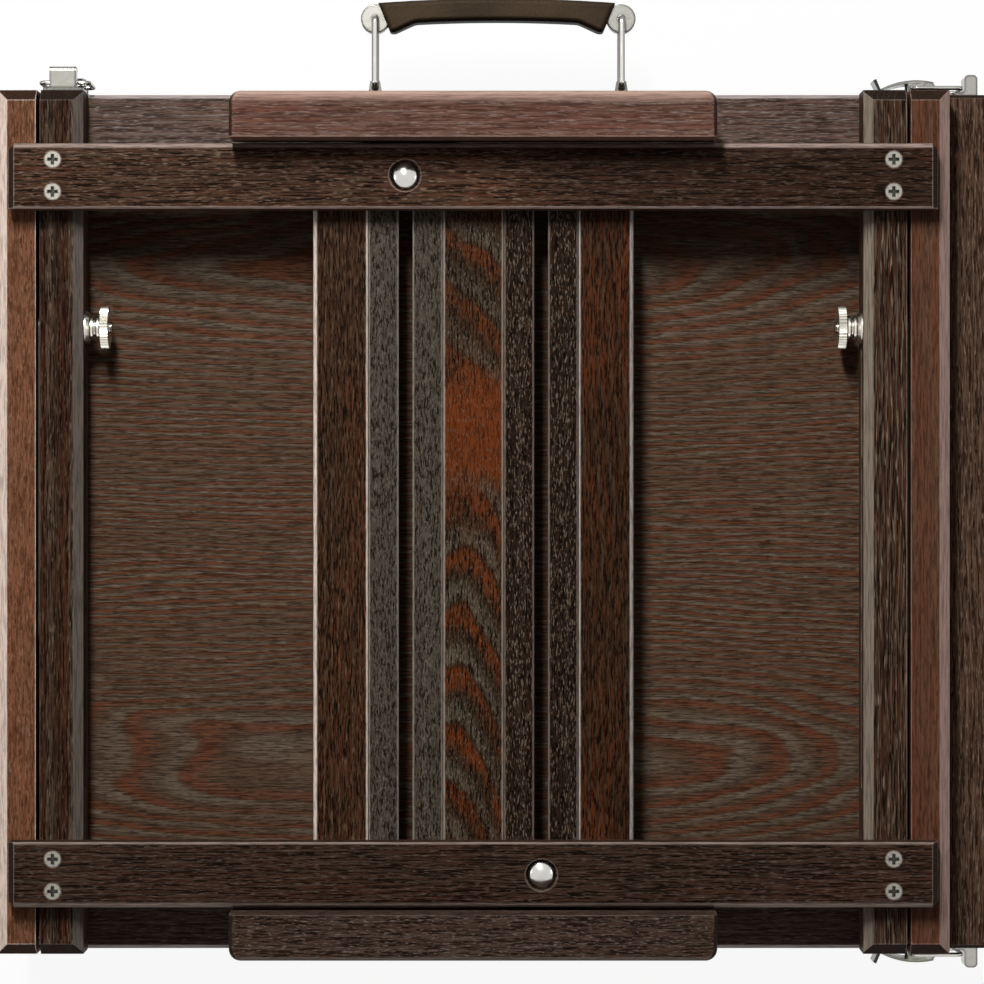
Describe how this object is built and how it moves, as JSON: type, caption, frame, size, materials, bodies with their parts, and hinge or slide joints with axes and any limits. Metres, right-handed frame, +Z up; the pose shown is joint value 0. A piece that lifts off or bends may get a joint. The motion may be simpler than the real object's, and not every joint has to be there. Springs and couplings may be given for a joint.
{
  "type": "table box easel",
  "caption": "Shallow wooden sketch box with a latched end drawer, carrying handle and a tilting frame on top whose sliding masts clamp a canvas between blocks.",
  "frame": {"origin": "middle of the box body's plan, on the table plane under the rubber feet", "axes": "+Z up; +Y away from the user, towards the carrying handle; +X right, the way the drawer pulls out"},
  "size_m": [0.4505, 0.4486, 0.1397],
  "materials": {
    "wood_walls": "dark stained open-pored hardwood, satin lacquer",
    "wood_floor": "plain light wood, unfinished",
    "wood_drawer": "plain light wood, unfinished",
    "wood_top_rails": "dark stained open-pored hardwood, satin lacquer",
    "wood_top_stiles": "dark stained open-pored hardwood, satin lacquer",
    "wood_panel": "dark stained open-pored hardwood, satin lacquer",
    "wood_rail_left": "dark stained open-pored hardwood, satin lacquer",
    "wood_rail_right": "dark stained open-pored hardwood, satin lacquer",
    "wood_upright_left": "dark stained open-pored hardwood, satin lacquer",
    "wood_upright_right": "dark stained open-pored hardwood, satin lacquer",
    "wood_crossbar_upper": "dark stained open-pored hardwood, satin lacquer",
    "wood_crossbar_lower": "dark stained open-pored hardwood, satin lacquer",
    "wood_guide_left": "dark stained open-pored hardwood, satin lacquer",
    "wood_guide_centre": "dark stained open-pored hardwood, satin lacquer",
    "wood_guide_right": "dark stained open-pored hardwood, satin lacquer",
    "wood_mast_upper": "dark stained open-pored hardwood, satin lacquer",
    "wood_mast_lower": "dark stained open-pored hardwood, satin lacquer",
    "wood_block_upper": "dark stained open-pored hardwood, satin lacquer",
    "wood_block_lower": "dark stained open-pored hardwood, satin lacquer",
    "wood_drawer_front": "dark stained open-pored hardwood, satin lacquer",
    "frame_screws": "bright nickel plate",
    "hidden_screws": "zinc plate, satin",
    "bolts": "bright nickel plate",
    "clamp_nuts": "zinc plate, satin",
    "thumb_nuts": "bright nickel plate",
    "stays": "blackened steel, satin",
    "handle_wire": "bright nickel plate",
    "handle_metal": "bright nickel plate",
    "latch_metal": "bright nickel plate",
    "latch_wire": "bright nickel plate",
    "grip": "satin, moulded to look like leather",
    "feet": "matt"
  },
  "bodies": {
    "box": {"box_floor": "wood_floor", "far_wall": "wood_walls", "near_wall": "wood_walls", "left_wall": "wood_walls", "top_rails": "wood_top_rails", "top_stiles": "wood_top_stiles", "top_panel": "wood_panel", "rubber_feet": "feet", "drawer_runners": "wood_floor", "side_rail_right": "wood_rail_right", "side_rail_left": "wood_rail_left", "hinge_pins": "stays", "stay_rivets": "stays", "handle_bracket_left": "handle_metal", "handle_bracket_right": "handle_metal", "bracket_screws": "handle_metal", "latch_bases": "latch_metal", "latch_base_screws": "latch_metal"},
    "drawer": {"drawer_front": "wood_drawer_front", "drawer_side_far": "wood_drawer", "drawer_side_near": "wood_drawer", "drawer_back": "wood_drawer", "drawer_floor": "wood_floor", "drawer_dividers": "wood_drawer", "drawer_catches": "latch_metal"},
    "tilt_frame": {"upright_right": "wood_upright_right", "upright_left": "wood_upright_left", "crossbar_upper": "wood_crossbar_upper", "crossbar_lower": "wood_crossbar_lower", "guide_centre": "wood_guide_centre", "guide_right": "wood_guide_right", "guide_left": "wood_guide_left", "crossbar_screws": "frame_screws", "clamp_bolts": "bolts", "clamp_washers": "bolts", "tilt_catch": "latch_metal"},
    "upper_mast": {"mast_upper": "wood_mast_upper", "canvas_block_upper": "wood_block_upper", "block_screws_upper": "hidden_screws"},
    "lower_mast": {"mast_lower": "wood_mast_lower", "canvas_block_lower": "wood_block_lower", "block_screws_lower": "hidden_screws"},
    "stay_right": {"stay_right": "stays", "stay_stud_right": "thumb_nuts"},
    "stay_left": {"stay_left": "stays", "stay_stud_left": "thumb_nuts"},
    "thumb_nut_right": {"knurled_nut_right": "thumb_nuts"},
    "thumb_nut_left": {"knurled_nut_left": "thumb_nuts"},
    "clamp_nut_upper": {"clamp_nut_upper": "clamp_nuts"},
    "clamp_nut_lower": {"clamp_nut_lower": "clamp_nuts"},
    "bail_left": {"handle_bail_left": "handle_wire"},
    "bail_right": {"handle_bail_right": "handle_wire"},
    "grip": {"handle_grip": "grip", "handle_barrels": "handle_metal"},
    "lever_far": {"latch_lever_far": "latch_metal"},
    "lever_near": {"latch_lever_near": "latch_metal"},
    "lever_tilt": {"latch_lever_tilt": "latch_metal"},
    "loop_far": {"latch_loop_far": "latch_wire"},
    "loop_near": {"latch_loop_near": "latch_wire"},
    "loop_tilt": {"latch_loop_tilt": "latch_wire"}
  },
  "joints": [
    {"name": "drawer_slide", "type": "slide", "parent": "box", "child": "drawer", "axis": [1, 0, 0], "range_m": [0, 0.3]},
    {"name": "frame_tilt", "type": "hinge", "parent": "box", "child": "tilt_frame", "pos_m": [0, -0.189, 0.097], "axis": [1, 0, 0], "range_deg": [0, 75]},
    {"name": "upper_mast_slide", "type": "slide", "parent": "tilt_frame", "child": "upper_mast", "axis": [0, 1, 0], "range_m": [0, 0.3]},
    {"name": "lower_mast_slide", "type": "slide", "parent": "tilt_frame", "child": "lower_mast", "axis": [0, -1, 0], "range_m": [0, 0.09]},
    {"name": "stay_right_swing", "type": "hinge", "parent": "box", "child": "stay_right", "pos_m": [0.1961, -0.0505, 0.097], "axis": [1, 0, 0], "range_deg": [0, 150]},
    {"name": "stay_left_swing", "type": "hinge", "parent": "box", "child": "stay_left", "pos_m": [-0.1961, -0.0505, 0.097], "axis": [1, 0, 0], "range_deg": [0, 150]},
    {"name": "thumb_nut_right_turn", "type": "hinge", "parent": "stay_right", "child": "thumb_nut_right", "pos_m": [0.17, 0.088, 0.097], "axis": [-1, 0, 0], "range_deg": [0, 720]},
    {"name": "thumb_nut_left_turn", "type": "hinge", "parent": "stay_left", "child": "thumb_nut_left", "pos_m": [-0.17, 0.088, 0.097], "axis": [1, 0, 0], "range_deg": [0, 720]},
    {"name": "clamp_nut_upper_turn", "type": "hinge", "parent": "tilt_frame", "child": "clamp_nut_upper", "pos_m": [-0.0305, 0.1549, 0.094], "axis": [0, 0, -1], "range_deg": [0, 720]},
    {"name": "clamp_nut_lower_turn", "type": "hinge", "parent": "tilt_frame", "child": "clamp_nut_lower", "pos_m": [0.0305, -0.1577, 0.094], "axis": [0, 0, -1], "range_deg": [0, 720]},
    {"name": "bail_left_swing", "type": "hinge", "parent": "box", "child": "bail_left", "pos_m": [-0.0458, 0.201, 0.055], "axis": [0, 0, 1], "range_deg": [-65, 65]},
    {"name": "bail_right_swing", "type": "hinge", "parent": "box", "child": "bail_right", "pos_m": [0.0684, 0.201, 0.055], "axis": [0, 0, 1], "range_deg": [-65, 65]},
    {"name": "grip_swing", "type": "hinge", "parent": "bail_left", "child": "grip", "pos_m": [-0.0458, 0.2333, 0.055], "axis": [0, 0, 1], "range_deg": [-65, 65]},
    {"name": "lever_far_lift", "type": "hinge", "parent": "box", "child": "lever_far", "pos_m": [0.20975, 0.1994, 0.062], "axis": [0, 0, -1], "range_deg": [0, 100]},
    {"name": "lever_near_lift", "type": "hinge", "parent": "box", "child": "lever_near", "pos_m": [0.20975, -0.1994, 0.062], "axis": [0, 0, 1], "range_deg": [0, 100]},
    {"name": "lever_tilt_lift", "type": "hinge", "parent": "box", "child": "lever_tilt", "pos_m": [-0.1856, 0.1994, 0.07965], "axis": [1, 0, 0], "range_deg": [0, 100]},
    {"name": "loop_far_swing", "type": "hinge", "parent": "lever_far", "child": "loop_far", "pos_m": [0.20225, 0.1994, 0.062], "axis": [0, 0, -1], "range_deg": [-135, 0]},
    {"name": "loop_near_swing", "type": "hinge", "parent": "lever_near", "child": "loop_near", "pos_m": [0.20225, -0.1994, 0.062], "axis": [0, 0, 1], "range_deg": [-135, 0]},
    {"name": "loop_tilt_swing", "type": "hinge", "parent": "lever_tilt", "child": "loop_tilt", "pos_m": [-0.1856, 0.1994, 0.07215], "axis": [1, 0, 0], "range_deg": [-135, 0]}
  ],
  "couplings": [
    {"joint": "stay_right_swing", "follows": "frame_tilt", "ratio": 2},
    {"joint": "stay_left_swing", "follows": "frame_tilt", "ratio": 2},
    {"joint": "bail_right_swing", "follows": "bail_left_swing", "ratio": 1},
    {"joint": "grip_swing", "follows": "bail_left_swing", "ratio": -1},
    {"joint": "loop_far_swing", "follows": "lever_far_lift", "ratio": -1.35},
    {"joint": "loop_near_swing", "follows": "lever_near_lift", "ratio": -1.35},
    {"joint": "loop_tilt_swing", "follows": "lever_tilt_lift", "ratio": -1.35}
  ]
}
